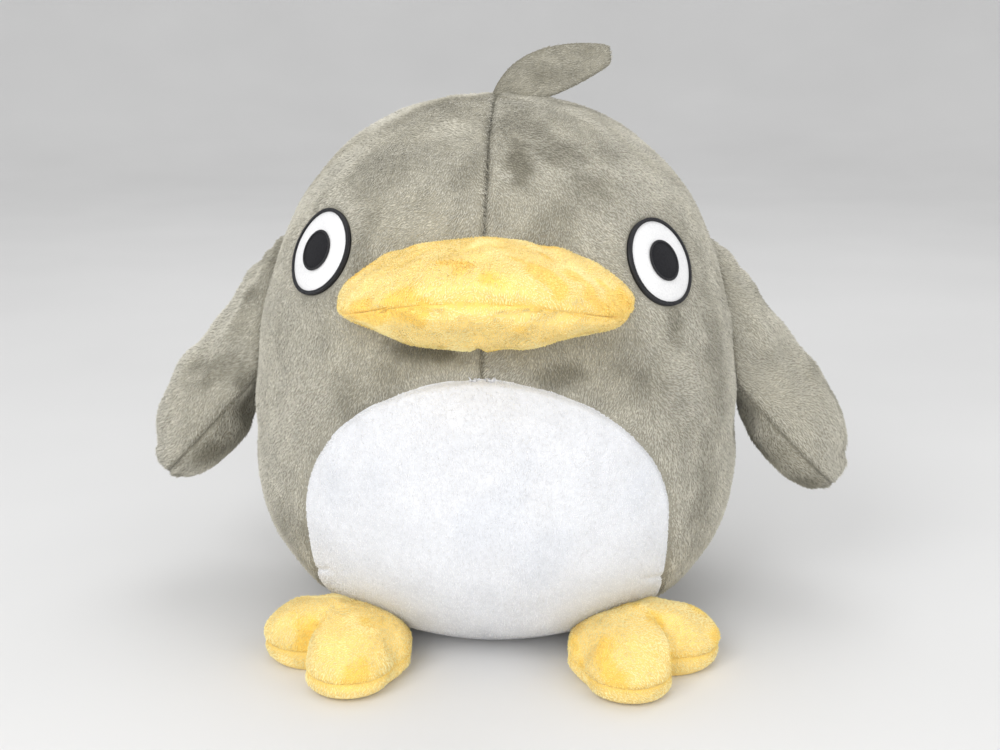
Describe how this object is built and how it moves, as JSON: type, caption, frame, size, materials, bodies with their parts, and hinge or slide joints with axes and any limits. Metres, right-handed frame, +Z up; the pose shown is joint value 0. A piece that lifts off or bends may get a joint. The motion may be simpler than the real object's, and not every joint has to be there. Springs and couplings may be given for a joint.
{
  "type": "plush penguin toy",
  "caption": "Round stuffed penguin toy with a broad beak, embroidered eyes, soft flippers, two-toed feet and a crown tuft.",
  "frame": {"origin": "centre of the flat base panel, on the surface the toy stands on and on the body's upright axis", "axes": "+Z up; the toy faces -Y; +X is the toy's own left, which is the right of a front view"},
  "size_m": [0.3884, 0.3072, 0.2998],
  "materials": {
    "fibre_filling": "loose polyester fibre",
    "eye_white_cloth": "smooth woven cloth",
    "black_thread": "satin stitch, slight sheen",
    "pupil_cloth": "short felted cloth",
    "white_plush": "short brushed pile",
    "yellow_plush": "soft brushed pile",
    "grey_plush": "soft brushed pile",
    "label_satin": "blank satin tape",
    "grey_thread": "sewing thread"
  },
  "bodies": {
    "torso": {"body_filling": "fibre_filling", "face_left_panel": "grey_plush", "face_right_panel": "grey_plush", "back_left_panel": "grey_plush", "back_right_panel": "grey_plush", "belly_patch": "white_plush", "base_panel": "white_plush", "left_eye_white": "eye_white_cloth", "left_eye_rim": "black_thread", "left_pupil": "pupil_cloth", "left_pupil_edge": "black_thread", "right_eye_white": "eye_white_cloth", "right_eye_rim": "black_thread", "right_pupil": "pupil_cloth", "right_pupil_edge": "black_thread", "beak_upper_panel": "yellow_plush", "beak_lower_panel": "yellow_plush", "beak_filling": "fibre_filling", "care_label": "label_satin", "closing_stitches": "grey_thread"},
    "left_flipper": {"left_flipper_outer_panel": "grey_plush", "left_flipper_inner_panel": "grey_plush", "left_flipper_filling": "fibre_filling"},
    "right_flipper": {"right_flipper_outer_panel": "grey_plush", "right_flipper_inner_panel": "grey_plush", "right_flipper_filling": "fibre_filling"},
    "left_foot": {"left_foot_top_panel": "yellow_plush", "left_foot_sole": "yellow_plush", "left_foot_filling": "fibre_filling"},
    "right_foot": {"right_foot_top_panel": "yellow_plush", "right_foot_sole": "yellow_plush", "right_foot_filling": "fibre_filling"},
    "tuft": {"tuft_front_panel": "grey_plush", "tuft_back_panel": "grey_plush", "tuft_wadding": "fibre_filling"}
  },
  "joints": [
    {"name": "left_flipper_swing", "type": "hinge", "parent": "torso", "child": "left_flipper", "pos_m": [0.11433, 0, 0.199], "axis": [0, -1, 0], "range_deg": [0, 60], "stiffness_Nm_per_rad": 0.12},
    {"name": "right_flipper_swing", "type": "hinge", "parent": "torso", "child": "right_flipper", "pos_m": [-0.11433, 0, 0.199], "axis": [0, 1, 0], "range_deg": [0, 60], "stiffness_Nm_per_rad": 0.12},
    {"name": "left_foot_flex", "type": "hinge", "parent": "torso", "child": "left_foot", "pos_m": [0.04907, -0.07852, 0.01054], "axis": [0.6018, 0.7986, 0], "range_deg": [-2, 25], "stiffness_Nm_per_rad": 0.12},
    {"name": "right_foot_flex", "type": "hinge", "parent": "torso", "child": "right_foot", "pos_m": [-0.04907, -0.07852, 0.01054], "axis": [0.6018, -0.7986, 0], "range_deg": [-2, 25], "stiffness_Nm_per_rad": 0.12},
    {"name": "tuft_flop", "type": "hinge", "parent": "torso", "child": "tuft", "pos_m": [0.01, 0.005, 0.2774], "axis": [1, 0, 0], "range_deg": [-50, 50], "stiffness_Nm_per_rad": 0.03}
  ]
}
